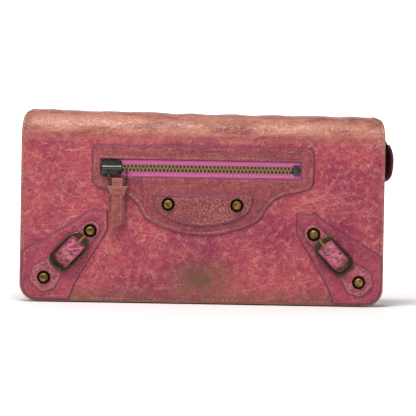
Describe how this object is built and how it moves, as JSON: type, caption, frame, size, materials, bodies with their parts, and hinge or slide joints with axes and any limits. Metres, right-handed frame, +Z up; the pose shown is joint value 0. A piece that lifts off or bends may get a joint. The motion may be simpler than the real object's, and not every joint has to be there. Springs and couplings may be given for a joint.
{
  "type": "long wallet",
  "caption": "Long flap wallet with a rounded spine, zipped flap pocket, buckled corner straps, card tiers and a zipped coin compartment.",
  "frame": {"origin": "middle of the underside of the body's base strip, midway between the two covers", "axes": "+X to the viewer's right along the wallet's length, -Y out of the flap's face, +Z up towards the rounded spine"},
  "size_m": [0.2006, 0.033, 0.102],
  "materials": {
    "cover_leather": "crinkled, waxed, worn at folds",
    "patch_leather": "crinkled, darker, painted edges",
    "label_leather": "pebbled grain",
    "pull_leather": "smooth, painted edges",
    "lining_leather": "smooth lining",
    "card_leather": "fine grain",
    "pocket_cloth": "plain weave",
    "zip_tape": "woven tape",
    "aged_brass": "aged, rubbed",
    "dark_metal": "blackened, rubbed at edges",
    "gunmetal": "blackened nickel, rubbed",
    "snap_metal": "plated"
  },
  "bodies": {
    "root": {"cover_back_leather": "cover_leather", "back_lining": "lining_leather", "body_base": "cover_leather", "body_front_panel": "card_leather", "card_tier_1": "card_leather", "card_tier_2": "card_leather", "card_tier_3": "card_leather", "card_tier_4": "card_leather", "coin_wall_front": "lining_leather", "coin_wall_rear": "lining_leather", "bill_gusset_front_left": "card_leather", "bill_gusset_front_right": "card_leather", "bill_gusset_rear_left": "card_leather", "bill_gusset_rear_right": "card_leather", "coin_gusset_left": "card_leather", "coin_gusset_right": "card_leather", "coin_zip_tape_front": "zip_tape", "coin_zip_tape_rear": "zip_tape", "coin_zip_teeth_front": "aged_brass", "coin_zip_teeth_rear": "aged_brass", "coin_zip_stop": "gunmetal", "tail_tape_inner": "zip_tape", "snap_stud": "snap_metal"},
    "spine": {"cover_spine_leather": "cover_leather", "spine_lining": "lining_leather"},
    "flap": {"cover_flap_leather": "cover_leather", "flap_lining": "lining_leather", "zip_patch": "patch_leather", "label_patch": "label_leather", "corner_patch_left": "patch_leather", "corner_patch_right": "patch_leather", "zip_pocket_cloth": "pocket_cloth", "buckle_strap_left": "patch_leather", "buckle_strap_right": "patch_leather", "buckle_left": "dark_metal", "buckle_right": "dark_metal", "stud_heads": "aged_brass", "stud_rings": "dark_metal", "stud_backs": "snap_metal", "flap_zip_tape_upper": "zip_tape", "flap_zip_tape_lower": "zip_tape", "flap_zip_teeth_upper": "aged_brass", "flap_zip_teeth_lower": "aged_brass", "flap_zip_stop": "gunmetal", "snap_socket": "snap_metal"},
    "flap_slider": {"flap_zip_slider": "gunmetal"},
    "flap_ring": {"flap_zip_ring": "aged_brass"},
    "flap_pull": {"pull_keeper": "pull_leather", "pull_strap": "pull_leather"},
    "prong_left": {"buckle_prong_left": "aged_brass"},
    "prong_right": {"buckle_prong_right": "aged_brass"},
    "coin_slider": {"coin_zip_slider": "gunmetal"},
    "coin_pull": {"coin_zip_pull": "aged_brass"},
    "zip_tail": {"tail_tape_outer": "zip_tape", "tail_tab": "pull_leather"}
  },
  "joints": [
    {"name": "rear_fold", "type": "hinge", "parent": "root", "child": "spine", "pos_m": [0, 0.01325, 0.088], "axis": [-1, 0, 0], "range_deg": [0, 90]},
    {"name": "front_fold", "type": "hinge", "parent": "spine", "child": "flap", "pos_m": [0, -0.01325, 0.088], "axis": [-1, 0, 0], "range_deg": [0, 90]},
    {"name": "flap_zip_slide", "type": "slide", "parent": "flap", "child": "flap_slider", "axis": [1, 0, 0], "range_m": [0, 0.0905], "deforming": ["flap_zip_teeth_upper", "flap_zip_teeth_lower", "pull_strap"]},
    {"name": "flap_ring_swing", "type": "hinge", "parent": "flap_slider", "child": "flap_ring", "pos_m": [-0.04565, -0.01695, 0.0726], "axis": [-1, 0, 0], "range_deg": [0, 150]},
    {"name": "flap_pull_swing", "type": "hinge", "parent": "flap_ring", "child": "flap_pull", "pos_m": [-0.04565, -0.01695, 0.0632], "axis": [-1, 0, 0], "range_deg": [0, 90]},
    {"name": "prong_left_lift", "type": "hinge", "parent": "flap", "child": "prong_left", "pos_m": [-0.07043, -0.0165, 0.02773], "axis": [0.7193, 0, -0.6947], "range_deg": [0, 25]},
    {"name": "prong_right_lift", "type": "hinge", "parent": "flap", "child": "prong_right", "pos_m": [0.07043, -0.0165, 0.02773], "axis": [0.7193, 0, 0.6947], "range_deg": [0, 25]},
    {"name": "coin_zip_slide", "type": "slide", "parent": "root", "child": "coin_slider", "axis": [1, 0, 0], "range_m": [0, 0.158], "deforming": ["coin_zip_teeth_front", "coin_zip_teeth_rear"]},
    {"name": "coin_pull_swing", "type": "hinge", "parent": "coin_slider", "child": "coin_pull", "pos_m": [-0.086, 0.003, 0.08841], "axis": [0, -1, 0], "range_deg": [0, 150]},
    {"name": "tail_lift", "type": "hinge", "parent": "root", "child": "zip_tail", "pos_m": [0.0964, 0.003, 0.0909], "axis": [0, -1, 0], "range_deg": [0, 80]}
  ],
  "couplings": [
    {"joint": "front_fold", "follows": "rear_fold", "ratio": 1}
  ]
}
